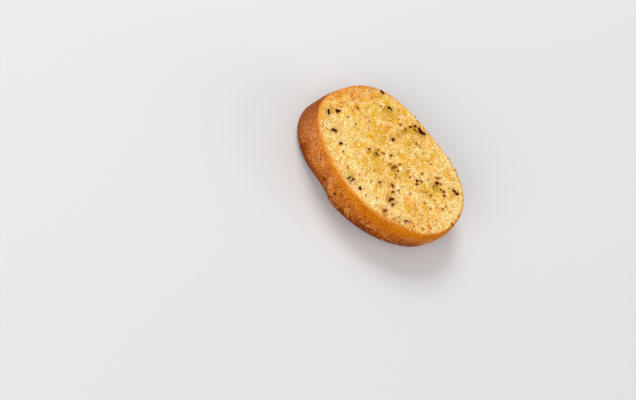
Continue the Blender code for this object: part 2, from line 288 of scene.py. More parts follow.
def skin_paint(turn, level, x, y, z):
    """The skin's colour, and how strongly its speckles show. Colours are blended one over the other by
    clouds and soft steps: mottled tan darkening to brown on the way down, partly real browning and partly
    painted shade at the base, with dark flecks, pale flecks and creases, a dull end corner that is partly
    painted shade, then a streaky amber band below the rim, gold on the rim, painted shade in the tear's
    crease, and burnt spots."""
    down = 1 - level
    end = near_turn(turn, END_TURN, END_SPREAD)
    # The end's upper corner: partly duller baked crust, partly painted shade
    dull_and_shaded = near_turn(turn, DULL_SHADED_TURN, DULL_SHADED_SPREAD)
    orange = near_turn(turn, ORANGE_TURN, ORANGE_SPREAD)
    amber = near_turn(turn, AMBER_TURN, AMBER_SPREAD)
    wobble = 0.05 * cloud(x, y, z, 0.0050, 30) + 0.02 * cloud(x, y, z, 0.0016, 38, 2)
    body = blend(MOTTLED, TAN, np.clip(1.6 * end + 0.3 * cloud(x, y, z, 0.007, 31), 0, 1))
    body = blend(blend(body, DULL_SHADED_TAN, 0.85 * dull_and_shaded), RIM_ORANGE, 0.8 * orange)

    # Darker towards the base: partly real browning, partly painted shade where the wall's foot lies in
    # shadow, strongest on the low side
    low = down - 0.22 * orange + 0.28 * cloud(x, y, z, 0.010, 33) - 0.17 * end
    low = low + 0.18 * near_turn(turn, -39, 18) + 0.10 * near_turn(turn, -84, 20)
    body = blend(body, BROWN, step(0.24, 0.76, low))
    body = blend(body, DARK_BROWN, 0.95 * step(0.48, 1.00, low))
    flecks = step(0.0, 0.6, cloud(x, y, 1.5 * z, 0.0017, 34, 2)) * step(-0.9, 0.4, cloud(x, y, z, 0.006, 35))
    body = blend(body, DARK_BROWN, (0.56 - 0.24 * end) * flecks)
    pale = step(0.0, 0.6, cloud(x, y, 1.5 * z, 0.0019, 36, 2)) * step(-0.9, 0.4, cloud(x, y, z, 0.007, 37))
    pale = pale * (1 - 0.45 * near_turn(turn, 70, 80))
    creased = 0.16 + 0.54 * near_turn(turn, CREASED_TURN, CREASED_SPREAD)
    lines = creased * (1 - 0.7 * end) * creases(x, y, z)
    body = blend(body, blend(PALE_CREASE, PEACH_TAN, end), np.clip((0.54 - 0.06 * end) * pale + lines, 0, 1))

    streaks = cloud(0.30 * x, 0.30 * y, 2.5 * z, 0.0020, 32, 2)
    streaks = streaks + 0.5 * cloud(0.4 * x, 0.4 * y, 2.0 * z, 0.0009, 39, 2)
    band = blend(blend(AMBER, TAN, end), RIM_GOLD, (0.50 - 0.30 * end) * step(0.0, 0.8, streaks))
    band = blend(band, BROWN, 0.50 * step(0.0, -0.8, streaks))
    past_band = step(0.6, 1.5, down / (0.10 + 0.13 * amber + 1.1 * wobble))
    paint = blend(band, body, past_band)
    # Painted shade in part: the dull corner's tan and a dark band just below its rim
    paint = blend(paint, DULL_SHADED_TAN, 0.85 * dull_and_shaded * step(0.0, 0.02, down))
    paint = blend(paint, DARK_BROWN, 0.24 * dull_and_shaded * step(0.0, 0.03, down) * step(0.20, 0.08, down))

    rim = down * (1 + 1.6 * dull_and_shaded) + 0.4 * wobble
    paint = blend(paint, RIM_ORANGE, step(0.07, 0.01, rim) * (0.6 - 0.3 * end))
    paint = blend(paint, rim_colour(turn), step(0.025, 0.0, rim) * (1 - 0.5 * dull_and_shaded))

    # Painted shade: the tear's crease darkened, most just below the rim
    past = tear_distance(turn, level)
    tear = np.exp(-((past * 1.6 + 0.5) ** 2)) * step(0.99, 0.90, level) * step(0.10, 0.75, level)
    paint = blend(paint, DARK_BROWN, 0.18 * tear)
    brow = np.exp(-(((past - 1.1) * 1.4) ** 2)) * step(0.98, 0.85, level) * step(0.25, 0.80, level)
    paint = blend(paint, DARK_BROWN, 0.7 * browned_nicks(turn) * step(0.10, 0.02, down))
    paint = blend(paint, PEACH_TAN, 0.45 * brow)
    for spot_turn, spot_level in BURNT_SPOTS:
        along = HALF_LENGTH * past_turn(turn, math.radians(spot_turn))
        apart = np.hypot(along, THICKNESS * (level - spot_level))
        paint = blend(paint, BURNT, np.minimum(1.5 * np.exp(-((apart / BURNT_REACH) ** 2)), 1))
    return paint, 1 - (0.28 + 0.20 * amber) * (1 - past_band)


# The cut underside: a disc of shallow pores inside the skin's lowest edge
base_turn, base_share = disc_grid(BASE_CELLS)
lowest = crust(base_turn, np.ones_like(base_turn))
base_x, base_y = base_share * (lowest[..., 0] + SLANT), base_share * lowest[..., 1]
base_pores = step(0.15, 0.75, cloud(base_x, base_y, 0 * base_x, BASE_PORE_SIZE, 51))
base_z = BASE_PORE_DEPTH * base_pores * step(1, 0.96, base_share)
base = np.stack([base_x - SLANT, base_y, base_z], axis=-1).reshape(-1, 3)
base_quads, base_edge = grid_faces(BASE_CELLS)
round_turn = base_turn.reshape(-1)[base_edge][None, :]

# The skin: rows round the outline, sunk by wrinkles, pits and the rim's broken spots
sections = np.linspace(SEAM, 1, CRUST_ROWS + 1)[:-1, None]
skin = crust(round_turn, sections)
skin_x, skin_y, skin_z = skin[..., 0], skin[..., 1], skin[..., 2]
wrinkles = WRINKLE * (0.5 + 0.5 * cloud(skin_x, skin_y, 4.0 * skin_z, WRINKLE_SIZE, 32))
pits = PIT * step(0.35, 0.8, grain(skin_x, skin_y, skin_z, PIT_SIZE, 71))
pitted = 0.4 + 0.6 * step(-0.2, 0.5, grain(skin_x, skin_y, skin_z, PITTED_SIZE, 72))
sunk = np.maximum(wrinkles + pits * pitted - CREASE * creases(skin_x, skin_y, skin_z), LEAST_SUNK)
sunk = sunk * np.sin(np.pi * np.clip(skin_z / THICKNESS, 0, 1)) ** 0.5
skin = crust(round_turn, sections, sunk + nicks(round_turn) * step(0.30, 0.08, sections))

# Its hidden edge: one row folded in under the crumb, and a lip that closes it below
lip_x, lip_y = outwards(round_turn)
edge_x, edge_y = outline(round_turn)
lip = np.stack([edge_x - lip_x * LIP_IN, edge_y - lip_y * LIP_IN, 0 * edge_x + THICKNESS - LIP_DOWN], axis=-1)
fold = FOLD_SHARE * lip + (1 - FOLD_SHARE) * skin[:1]
fold[..., 2] = THICKNESS - FOLD_DOWN
skin_rows = np.concatenate([lip, fold, skin])

crust_points = np.concatenate([base, skin_rows.reshape(-1, 3)])
crust_level = np.clip(crust_points[:, 2] / THICKNESS, 0, 1)
crust_turn = np.concatenate([base_turn.reshape(-1), np.tile(round_turn[0], len(skin_rows))])
crust_paint, crust_speckle = skin_paint(crust_turn, crust_level, *crust_points.T)
base_stain = step(-0.3, 0.6, cloud(base_x, base_y, 0 * base_x, BASE_STAIN_SIZE, 81))
base_paint = blend(BASE_CREAM, BASE_GOLD, base_stain).reshape(-1, 3)
inside = step(1.0, 0.93, base_share).reshape(-1)
crust_paint[: len(base)] = blend(crust_paint[: len(base)], base_paint, inside)
rows = list(len(base) + np.arange(len(crust_points) - len(base)).reshape(-1, len(base_edge)))
crust_piece = piece(
    "crust_and_base", crust_points, [base_quads[:, ::-1]] + ring_faces(rows + [base_edge]),
    crust_paint, crust_speckle, cap=rows[0],
)

SHINE_RANGE = 0.15  # how far the roughness of the dry grains and of the dips lies from the middle


def shader(name):
    """A new material and its Principled shader, with a short way to add and join its nodes."""
    made = bpy.data.materials.new(name)
    made.use_nodes = True
    nodes, links = made.node_tree.nodes, made.node_tree.links

    def add(kind, settings=None, **inputs):
        """A node; each input, by its name or as i and its number, gets a value or another node's output."""
        node = nodes.new(kind)
        for key, value in (settings or {}).items():
            setattr(node, key, value)
        for key, value in inputs.items():
            socket = node.inputs[int(key[1:])] if key[0] == "i" and key[1:].isdigit() else node.inputs[key]
            if isinstance(value, bpy.types.NodeSocket):
                links.new(value, socket)
            else:
                socket.default_value = value
        return node

    return made, nodes["Principled BSDF"], add, links


def speckled(name, roughness, shine, shine_tint, layers):
    """Paint from the mesh, multiplied by layers of noise on Object coordinates: each layer has a stretch, a
    grain size, the spread of noise round its middle that counts, a light and a dark tint, how strongly it
    shows, and how high its light grains rise. The last layer's grains are dry, and its dips shine more."""
    made, surface, add, links = shader(name)
    place = add("ShaderNodeTexCoord").outputs["Object"]
    colour = add("ShaderNodeAttribute", {"attribute_name": "paint"}).outputs["Color"]
    speckle = add("ShaderNodeAttribute", {"attribute_name": "speckle"}).outputs["Fac"]
    height = None
    for stretch, size, spread, light, dark, amount, rise in layers:
        mapped = add("ShaderNodeMapping", Vector=place, Scale=stretch).outputs["Vector"]
        noise = add("ShaderNodeTexNoise", Vector=mapped, Scale=1 / size, Detail=1.5, Roughness=0.5)
        grains = add("ShaderNodeMapRange", i0=noise.outputs["Fac"], i1=0.5 - spread, i2=0.5 + spread)
        grains = grains.outputs["Result"]
        tint = add("ShaderNodeMix", {"data_type": "RGBA"}, i0=grains, i6=(*dark, 1), i7=(*light, 1))
        shown = add("ShaderNodeMath", {"operation": "MULTIPLY"}, i0=speckle, i1=amount).outputs[0]
        mixed = add("ShaderNodeMix", {"data_type": "RGBA", "blend_type": "MULTIPLY"},
                    i0=shown, i6=colour, i7=tint.outputs[2])
        colour = mixed.outputs[2]
        raised = add("ShaderNodeMath", {"operation": "MULTIPLY"}, i0=grains, i1=rise).outputs[0]
        height = raised if height is None else add("ShaderNodeMath", i0=height, i1=raised).outputs[0]
    bump = add("ShaderNodeBump", Strength=1.0, Distance=1.0, Height=height)
    dryness = add("ShaderNodeMapRange", i0=grains, i3=roughness - SHINE_RANGE, i4=roughness + SHINE_RANGE)
    links.new(colour, surface.inputs["Base Color"])
    links.new(bump.outputs["Normal"], surface.inputs["Normal"])
    links.new(dryness.outputs["Result"], surface.inputs["Roughness"])
    surface.inputs["Specular IOR Level"].default_value = shine
    surface.inputs["Specular Tint"].default_value = (*shine_tint, 1)
    return made, surface


# The light grains of these layers are pale grit and also painted glints of gloss; the dark grains darken it
baked_skin, _ = speckled("baked_skin", 0.6, 0.06, (1.0, 0.65, 0.28), (
    ((1, 1, 1.3), 0.0014, 0.11, (1.12, 1.20, 1.42), (0.86, 0.77, 0.54), 1.0, 0.00014),
    ((1, 1, 1), 0.0009, 0.10, (1.20, 1.36, 1.85), (0.76, 0.60, 0.32), 1.0, 0.00010),
))
crust_piece.data.materials.append(baked_skin)
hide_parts("garlic_bread_slice")
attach(crust_piece, "root")

# ---------------------------------------------------------------------------------------------
# The buttered crumb
# The cut face: an open, springy crumb, spread with garlic butter and toasted. The butter soaks
# into the holes and shows deeper yellow there, and the thin walls between them toast pale gold.

FACE_DOME, FACE_LUMP, FACE_LUMP_SIZE = 0.0007, 0.00030, 0.012
HOLES, HOLE_RADIUS, HOLE_DEPTH, HOLE_SIZES, HOLE_MARGIN = 26, 0.0022, 0.0008, (0.7, 1.3), 0.88
FACE_CELLS = (340, 238)
ROLL_ROWS, ROLL_PAST_SEAM = 7, 1.15  # the crumb's rows over the rim, and how far past the seam they go
TUCK_IN, TUCK_DOWN, TUCK_DEPTH = 0.0009, 0.0005, 0.0040  # the crumb's hidden edge, inside the skin's
RIDGE, RIDGE_SIZE, DEEPEST_PORE = 0.00020, 0.0010, 0.0007
WARP, WARP_SIZE = 0.0007, 0.0017  # how far the pores' outlines wander
CREAM, GOLD, PEACH = linear(249, 212, 134), linear(229, 171, 30), linear(246, 188, 104)
BUTTER, ORANGE, TOAST = linear(206, 153, 6), linear(234, 154, 46), linear(190, 98, 12)
STAIN, SINGED_RIM = linear(156, 94, 0), linear(132, 64, 10)
# Spots on the face: the middle's x and y, and the reach, in mm
SOAKED_SPOTS = (  # butter that the herbs have tinted
    (-36, 5, 2.8), (-20.5, 22.5, 3.8), (-4.5, 26.5, 4.0), (0, 18, 2.4), (-8, -7, 4.2), (10.5, -3.5, 2.8),
    (10, -14, 2.2), (28, 4, 2.6), (31, 11, 2.6), (-8, -31, 2.4), (5, -3, 2.6), (12, 2, 2.0), (-12, 5, 3.4),
    (-1, -11, 3.0), (-15, 11, 2.6), (-8, 15, 2.4), (-25, 20, 2.2),
)
BARE_SPOTS = (  # crumb that the butter missed
    (-36, -3, 4.5), (-31, -9, 5.0), (12, 4, 3.0), (6, -8, 3.6), (-12, -31, 3.6), (-5, -33, 3.0),
    (1, -30, 4.0), (24, -20, 4.0), (18, -14, 3.0), (30, -2, 4.0), (23, 28, 4.0), (-41, -20, 3.5),
    (42, 10, 3.6), (-25, -15, 4.0), (-12, -25, 3.6), (11, -27, 4.0), (30, -20, 3.0), (36, 21, 4.5),
    (-12, 4, 2.4), (1, 3, 2.4), (36, -8, 3.0), (-36, 22, 2.4),
)
GILT_SPOTS = (  # crumb that it coated most
    (-18, 29, 4.6), (-25, 24, 4.0), (-6, 28, 3.6), (-12, 21, 3.4), (-42, 15, 3.6), (-36, 5, 4.0),
    (-19, -2, 4.0), (-24, -5, 3.0), (-12, -14, 4.0), (-6, -8, 3.2), (10, 16, 4.0), (6, 10, 3.2),
    (37, 9, 2.6), (30, 4, 3.0), (-18, -30, 3.6), (-18, 5, 2.8), (46, 1, 3.0), (29, -14, 2.6), (-27, 14, 2.6),
)
TOASTED_SPOTS = (  # crumb that toasted to orange
    (-43, 12, 6.5), (-49, 0, 5.0), (-37, 21, 4.5), (-43.5, 19, 3.4), (-47, 8, 4.0), (-51, -6, 3.0),
    (32, -11, 3.6), (42, 2, 2.4), (46, -13, 2.8), (38, -20, 2.8), (28, -26, 3.0), (22, -30, 2.5),
    (-16, 14, 2.4), (24, -10, 2.4), (40, -26, 3.0),
)
# The gold border inside the rim: how far it reaches in all round, and where it reaches further or less
GOLD_REACH = 0.0012
GOLD_STRETCHES = (  # turn, spread, and what it adds
    (174, 44, 0.0040), (-50, 34, 0.0030), (-118, 26, 0.0034), (13, 11, 0.0022), (-56, 10, 0.0014),
    (-38, 7, -0.0014), (-6, 7, -0.0006),
)
# The herb flakes stain the crumb under them, so their places stand here
LARGE_FLAKES = (  # the middle's x and y, the length and width in mm, and the turn in degrees
    (-0.5, 31, 6.2, 2.4, 6), (-5.5, 30, 2.4, 1.1, 50), (-7, 27, 1.8, 1.2, 56), (-4, 28, 1.5, 1.1, 28),
    (-34, 28.5, 3.6, 1.5, 177), (-23.5, 24, 3.6, 1.2, 4), (-8, 11, 2.2, 2.0, 44),
    (-45.5, -12, 4.1, 1.3, 138), (-42.5, -6.5, 2.6, 2.0, 35), (-35, -17.5, 3.8, 1.6, 23),
    (-26.5, -20.5, 1.8, 1.6, 54), (5, -1.5, 2.8, 0.9, 49), (4.5, -4, 1.8, 1.0, 69),
    (6, 2.5, 1.8, 0.8, 78), (-5.5, -1.5, 1.7, 0.9, 32), (-1.5, 1.5, 1.7, 1.0, 22),
    (-8.5, -5.5, 1.8, 1.1, 43), (-13, -7.5, 1.8, 1.1, 55), (27, 17, 2.5, 1.0, 39),
    (29, 14, 2.8, 1.8, 55), (33.5, 13.5, 1.5, 1.1, 55), (35.5, 14, 1.8, 1.4, 38),
    (37.5, 12, 1.7, 1.4, 131), (20, 4, 2.0, 1.5, 38), (21.5, 2, 1.9, 1.3, 74),
    (12.5, -12.5, 2.9, 1.6, 151), (15.5, -15, 2.0, 1.3, 49), (6, -18, 2.5, 1.1, 64),
    (18, -19.5, 4.2, 1.6, 71), (21, -21, 2.3, 1.6, 64), (20.5, -28, 3.3, 1.1, 73),
    (33.5, -21.5, 2.9, 1.1, 56), (39, 20.5, 2.2, 1.9, 5), (41.5, 20.5, 2.8, 1.7, 18),
    (23, -6, 2.2, 0.7, 9), (-5.5, -31.5, 4.8, 0.9, 89), (-8, -32.5, 3.1, 0.8, 89),
    (-13, -28, 2.6, 1.1, 151), (1, -31, 2.4, 2.0, 162),
)
DOTS = (  # the middle's x and y in mm
    (-36, 6), (-46, -8), (-8, 23), (-8, 20), (-12, 22), (-15, 24), (3, 22), (6, 23), (-12, -10), (-7, -5),
    (-9, -3), (2, -3), (8, -2), (9, -5), (19, 10), (18, 20), (31, 16), (29, 11), (22, 6), (28, -27),
    (29, -23), (-22, -23), (12, -27), (33, -3), (43, 8), (32, 5), (10, -7), (-29, 7),
)
DOT_LENGTH, DOT_SLIMNESS = (0.0011, 0.0016), (0.60, 0.90)
SMALL_FLAKES, SMALL_LENGTH, SMALL_SLIMNESS = 10, (0.0009, 0.0012), (0.60, 0.95)
FLAKE_MARGIN, FLAKE_TRIES = 0.90, 8
PALE_FLAKES = (34, 37, 40, 42, 44, 46, 47, 52, 58, 59, 60, 61, 62, 63, 65, 66)  # they leave no stain
PORES = (  # cell in metres, share of cells that hold a pore, depth for its radius, and seed
    (0.0036, 0.10, 0.22, 101), (0.0021, 0.36, 0.27, 102), (0.0012, 0.75, 0.42, 103),
)
PORE_EDGE = 1.3  # how softly a pore's bowl meets the face


def share_of_rim(x, y):
    """0 in the middle of the face, 1 on its rim."""
    turn = np.arctan2(y / HALF_WIDTH, x / HALF_LENGTH)
    return np.hypot(x, y) / np.hypot(*outline(turn))


def spot_on_face(draw, margin):
    """A place drawn evenly over the face, inside the given share of its outline."""
    turn, share = draw.uniform(0, 2 * math.pi), margin * math.sqrt(draw.random())
    x, y = outline(np.array(turn))
    return share * float(x), share * float(y)


def crumb_holes():
    """Middle, radius and depth of each of the crumb's larger holes."""
    draw = random.Random(SEED)
    holes = []
    for _ in range(HOLES):
        x, y = spot_on_face(draw, HOLE_MARGIN)
        size = draw.uniform(*HOLE_SIZES)
        holes.append((x, y, size * HOLE_RADIUS, size * HOLE_DEPTH))
    return holes


def face_height(x, y):
    """Height of the face before its fine pores: dome and swellings, less the larger holes."""
    inside = np.clip(1 - share_of_rim(x, y) ** 2, 0, 1)
    relief = FACE_LUMP * lumps(x, y, 0 * x, FACE_LUMP_SIZE, SEED)
    for hole_x, hole_y, radius, depth in crumb_holes():
        relief = relief - depth * np.exp(-((x - hole_x) ** 2 + (y - hole_y) ** 2) / radius**2)
    return THICKNESS + FACE_DOME * inside + relief * np.sqrt(inside)


def pores(x, y, cell, share, seed):
    """Depth of open pores: in a share of square cells, one bowl about a spot drawn in that cell, stretched
    along a drawn direction. It falls from its radius to 0 as the squared distance from the spot grows."""
    deep = 0 * x
    i0, j0 = np.floor(x / cell), np.floor(y / cell)
    for di in (-1, 0, 1):
        for dj in (-1, 0, 1):
            i, j = i0 + di, j0 + dj
            spot_x, spot_y = (i + dice(i, j, 1, seed)) * cell, (j + dice(i, j, 2, seed)) * cell
            angle, longer = np.pi * dice(i, j, 3, seed), 1 + 0.9 * dice(i, j, 4, seed)
            radius = cell * (0.22 + 0.34 * dice(i, j, 5, seed)) * (dice(i, j, 6, seed) < share)
            along = (x - spot_x) * np.cos(angle) + (y - spot_y) * np.sin(angle)
            over = (y - spot_y) * np.cos(angle) - (x - spot_x) * np.sin(angle)
            apart = ((along / longer) ** 2 + over**2) / np.maximum(radius, 1e-6) ** 2
            deep = np.maximum(deep, radius * np.clip(1 - apart, 0, 1) ** PORE_EDGE)
    return deep


def flake_places():
    """Middle, length, width and turn of every flake: large ones, dots, then small ones between them."""
    places = [(*(size / 1000 for size in sizes), math.radians(turn)) for *sizes, turn in LARGE_FLAKES]
    draw = random.Random(SEED + 2)

    def add(x, y, lengths, slimness):
        """One more flake, with a drawn length, width and turn."""
        length = draw.uniform(*lengths)
        places.append((x, y, length, length * draw.uniform(*slimness), draw.uniform(0, math.pi)))

    for x, y in DOTS:
        add(x / 1000, y / 1000, DOT_LENGTH, DOT_SLIMNESS)
    for _ in range(SMALL_FLAKES):
        tries = [spot_on_face(draw, FLAKE_MARGIN) for _ in range(FLAKE_TRIES)]
        tries.sort(key=lambda spot: min(math.dist(spot, place[:2]) for place in places))
        add(*tries[FLAKE_TRIES // 2], SMALL_LENGTH, SMALL_SLIMNESS)
    return places


# The face and its rim: a disc, rows that roll over the rim to the seam, and a hidden edge
turn, share = disc_grid(FACE_CELLS)
out_x, out_y = outwards(turn)
rim_x, rim_y = outline(turn)
drawn_in = share * RIM_ROLL + share**8 * nicks(turn)
flat_x, flat_y = share * rim_x - out_x * drawn_in, share * rim_y - out_y * drawn_in
flat = np.stack([flat_x, flat_y, face_height(flat_x, flat_y)], axis=-1).reshape(-1, 3)
quads, edge = grid_faces(FACE_CELLS)
flat[edge, 2] = THICKNESS
edge_turn = turn.reshape(-1)[edge][None, :]
roll_sections = np.linspace(0, SEAM * ROLL_PAST_SEAM, ROLL_ROWS + 1)[1:, None]
roll = crust(edge_turn, roll_sections, nicks(edge_turn))
tuck = roll[-1:] - TUCK_IN * np.stack([*outwards(edge_turn), 0 * edge_turn], axis=-1)
tuck[..., 2] -= TUCK_DOWN
deep_tuck = tuck.copy()
deep_tuck[..., 2] = THICKNESS - TUCK_DEPTH
points = np.concatenate([flat, roll.reshape(-1, 3), tuck.reshape(-1, 3), deep_tuck.reshape(-1, 3)])
x, y, _ = points.T
in_sight = np.arange(len(points)) < len(flat) + roll[..., 0].size


def over_face(size, seed, layers=3):
    """The cloud of the given size at the face's own points."""
    return cloud(x, y, 0 * x, size, seed, layers)


def spots(places, raggedness, seed):
    """How far the face's points lie in any of the ragged-edged spots: a bell, 1 in a spot's middle."""
    ragged = 1 + raggedness * over_face(0.0030, seed)
    return np.max([np.exp(-((x - px / 1000) ** 2 + (y - py / 1000) ** 2) * ragged / (reach / 1000) ** 2)
                   for px, py, reach in places], axis=0)


# The pores and the thin walls between them, calmer at the rim
warp_x = x + WARP * grain(x, y, 0 * x, WARP_SIZE, 91)
warp_y = y + WARP * grain(x, y, 0 * x, WARP_SIZE, 92)
hollow = sum(deep * pores(warp_x, warp_y, cell, held, seed) for cell, held, deep, seed in PORES)
turn_at = np.arctan2(y / HALF_WIDTH, x / HALF_LENGTH)
rim_gap = (1 - share_of_rim(x, y)) * np.hypot(*outline(turn_at))
relief = RIDGE * over_face(RIDGE_SIZE, 111, 2) - np.minimum(hollow, DEEPEST_PORE)
points[:, 2] += relief * (0.45 + 0.55 * step(0, 0.0025, rim_gap)) * in_sight

# Where the butter went: bare and gilded crumb in patches, thin near the low side and the +X end
patch, mixed, small = over_face(0.0100, 121, 2), over_face(0.0040, 123, 2), over_face(0.0019, 125, 2)
thin = np.maximum(step(0.35, 0.85, -y / HALF_WIDTH), step(0.75, 0.95, x / HALF_LENGTH))
thin_ring = near_turn(turn_at, 15, 62) * np.exp(-(((rim_gap - 0.0034) / 0.0024) ** 2))
gilded = 0.44 + 0.18 * patch + 0.45 * mixed + 0.75 * small - 0.30 * thin - 0.35 * thin_ring
gilded = gilded - 0.45 * spots(BARE_SPOTS, 0.8, 127) + 0.45 * spots(GILT_SPOTS, 0.8, 128)
paint = blend(CREAM, GOLD, np.clip(gilded, 0, 1))
paint = blend(paint, PEACH, 0.5 * step(0.1, 0.7, over_face(0.0030, 124, 2)))

# Butter in the pores and round the herbs, toasted spots, and the brown stain of each darker flake
soaked = np.clip(spots(SOAKED_SPOTS, 0.8, 94) * (0.9 + 0.9 * over_face(0.0020, 95, 2)), 0, 1)
paint = blend(paint, BUTTER, np.clip(0.45 * step(0.00004, 0.00040, hollow) + 0.85 * soaked, 0, 0.95))
toasted = np.clip(spots(TOASTED_SPOTS, 0.8, 96) * (0.7 + 0.9 * over_face(0.0026, 97)), 0, 1)
paint = blend(paint, ORANGE, np.clip(0.80 * toasted, 0, 0.9))
stains = [(1000 * px, 1000 * py, 600 * length + 0.3)
          for n, (px, py, length, *_) in enumerate(flake_places()) if n not in PALE_FLAKES]
paint = blend(paint, STAIN, 0.55 * spots(stains, 0.9, 93))

# The gold border, the singed grains on it and on the toasted spots, and the rim's browned broken spots
ends = near_turn(turn_at, 180, 40) + near_turn(turn_at, -38, 26)
gold_reach = sum((more * near_turn(turn_at, *stretch) for *stretch, more in GOLD_STRETCHES), GOLD_REACH)
ragged_gap = rim_gap + 0.0009 * over_face(0.0030, 98) * (0.5 + ends)
paint = blend(paint, rim_colour(turn_at), 0.97 * step(1.05, 0.05, ragged_gap / gold_reach))
singed_share = 0.14 + 1.3 * toasted + 0.35 * soaked + 1.1 * step(0.0045, 0, rim_gap) * ends
singed = step(0.22, 0.50, over_face(0.0011, 99, 2)) * np.clip(singed_share, 0, 1)
paint = blend(paint, TOAST, 0.78 * singed)
paint = blend(paint, SINGED_RIM, 0.85 * browned_nicks(turn_at) * step(0.0020, 0.0010, rim_gap))

rows = [edge] + list(len(flat) + np.arange(len(points) - len(flat)).reshape(-1, len(edge)))
crumb_piece = piece(
    "buttered_crumb", points, [quads] + ring_faces(rows),
    paint, 0.5 + 0.5 * step(0.0, 0.0035, rim_gap), cap=rows[-1][::-1],
)
# The light grains of these layers are pale crumb and also painted glints of butter; the dark grains are
# darker crumb
toasted_crumb, surface = speckled("toasted_crumb", 0.55, 0.3, (1.0, 0.85, 0.60), (
    ((1, 1, 1), 0.0012, 0.14, (1.04, 1.10, 1.50), (0.95, 0.89, 0.55), 1.0, 0.00010),
    ((1, 1, 1), 0.0008, 0.13, (1.16, 1.25, 1.66), (0.81, 0.74, 0.48), 1.0, 0.00010),
))
surface.inputs["Subsurface Weight"].default_value = 0.3
surface.inputs["Subsurface Radius"].default_value = (1.0, 0.55, 0.22)
surface.inputs["Subsurface Scale"].default_value = 0.0010
crumb_piece.data.materials.append(toasted_crumb)
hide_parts("garlic_bread_slice")
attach(crumb_piece, "root")

# ---------------------------------------------------------------------------------------------
# The herb flakes
# Chopped leaf, dried and baked almost black: thin, crinkled bits that lie in the butter. Each
# is a small bent sheet with two sides, as ragged as its neighbours but never the same.

SPECKS, SPECK_LENGTH, SPECK_MARGIN = 90, (0.0004, 0.0009), 0.95
FLAKE_CELLS, SPECK_CELLS = (9, 5), (4, 2)
LEAF_THICKNESS, LEAF_LIFT = 0.00013, 0.00017
LEAF_TOP = 0.02524  # nothing on the face stands higher
BLACK_FLAKES = (0, 1, 2, 3, 5, 7, 8, 9, 10, 35, 36, 38)
DARK_FLAKES = (4, 6, 19, 23, 28, 32, 33, 39, 55)
LEAF_BLACK, LEAF_DARK, LEAF_BROWN = linear(54, 3, 0), linear(96, 34, 2), linear(132, 62, 4)
LEAF_AMBER, LEAF_OLIVE = linear(190, 118, 22), linear(130, 88, 6)


def leaf_bits(places, cells, seed):
    """Bent sheets, one for each place: width tapers to both ends, edges curl up, and grain makes them ragged.
    Each has an upper and a lower side, a wall round its edge, and follows the face below it."""
    places = np.array(places)
    count, (nu, nv) = len(places), cells
    draw = np.random.default_rng(seed)
    u, v = np.meshgrid(np.linspace(-1, 1, nu + 1), np.linspace(-1, 1, nv + 1), indexing="ij")
    u, v = u[None], v[None]
    px, py, length, width, turn = (places[:, n][:, None, None] for n in range(5))

    def each(low, high):
        """A number drawn for each bit."""
        return draw.uniform(low, high, count)[:, None, None]

    ragged = 1 + 0.45 * grain(u * 2.4, v * 1.3, each(0, 90), 1.0, seed)
    along = 0.5 * length * u * (1 + 0.25 * grain(v * 2, 0 * u, each(0, 90), 1.0, seed + 1))
    over = 0.5 * width * v * (1 - 0.7 * np.abs(u) ** each(2.0, 4.0)) * ragged
    over = over + width * each(-0.6, 0.6) * (u * u - 0.4)
    bend = each(0.01, 0.08) * length * u * u + each(-0.05, 0.24) * width * v * v
    crinkle = 0.10 * width * grain(u * 2.6, v * 2.0, each(0, 90), 1.0, seed + 2)
    lean = each(-0.15, 0.15) * over + each(-0.02, 0.02) * along
    leaf_x = px + along * np.cos(turn) - over * np.sin(turn)
    leaf_y = py + along * np.sin(turn) + over * np.cos(turn)
    middle = face_height(leaf_x, leaf_y) + LEAF_LIFT + bend + crinkle + lean
    sides = []
    for side in (1, -1):
        height = middle + side * LEAF_THICKNESS * (1 - 0.6 * np.maximum(u * u, v * v))
        height = np.minimum(height, LEAF_TOP + side * 0.5 * LEAF_THICKNESS)
        sides.append(np.stack([leaf_x, leaf_y, height], axis=-1).reshape(count, -1, 3))
    quads, edge = grid_faces(cells)
    n = (nu + 1) * (nv + 1)
    wall = np.stack([edge, edge + n, np.roll(edge, -1) + n, np.roll(edge, -1)], axis=-1)
    one_leaf = np.concatenate([quads, quads[:, ::-1] + n, wall])
    faces = one_leaf[None] + (2 * n * np.arange(count))[:, None, None]
    return np.concatenate(sides, axis=1), faces.reshape(-1, 4)


def specks():
    """Middle, length, width and turn of each crumb of leaf dust."""
    draw = random.Random(SEED + 5)
    lengths = [draw.uniform(*SPECK_LENGTH) for _ in range(SPECKS)]
    places = []
    for length in lengths:
        x, y = spot_on_face(draw, SPECK_MARGIN)
        places.append((x, y, length, length * draw.uniform(*SMALL_SLIMNESS), draw.uniform(0, math.pi)))
    return places


# Each bit's colour runs from charred (0) to merely dried (1)
kinds = np.random.default_rng(SEED + 6)
points, faces, colours = [], [], []
for places, cells in ((flake_places(), FLAKE_CELLS), (specks(), SPECK_CELLS)):
    body, quads = leaf_bits(places, cells, 201 + len(points))
    faces.append(quads + sum(len(part) for part in points))
    dried = kinds.uniform(0.56, 0.92, (len(body), 1))
    if not points:
        dried[: len(LARGE_FLAKES)] = 0.60
        dried[list(DARK_FLAKES)], dried[list(BLACK_FLAKES)], dried[list(PALE_FLAKES)] = 0.32, 0.0, 1.1
    dried = dried + 0.12 * grain(*np.moveaxis(body, -1, 0), 0.0006, 211)
    tint = blend(LEAF_BLACK + 0 * body, LEAF_DARK, step(0.05, 0.35, dried))
    tint = blend(tint, LEAF_BROWN, step(0.35, 0.65, dried))
    tint = blend(tint, LEAF_OLIVE, 0.7 * (kinds.random((len(body), 1)) < 0.3) * step(0.6, 0.8, dried))
    tint = blend(tint, LEAF_AMBER, step(0.75, 1.1, dried))
    points.append(body.reshape(-1, 3))
    colours.append(tint.reshape(-1, 3))
herb_piece = piece("herb_flakes", np.concatenate(points), faces, np.concatenate(colours))
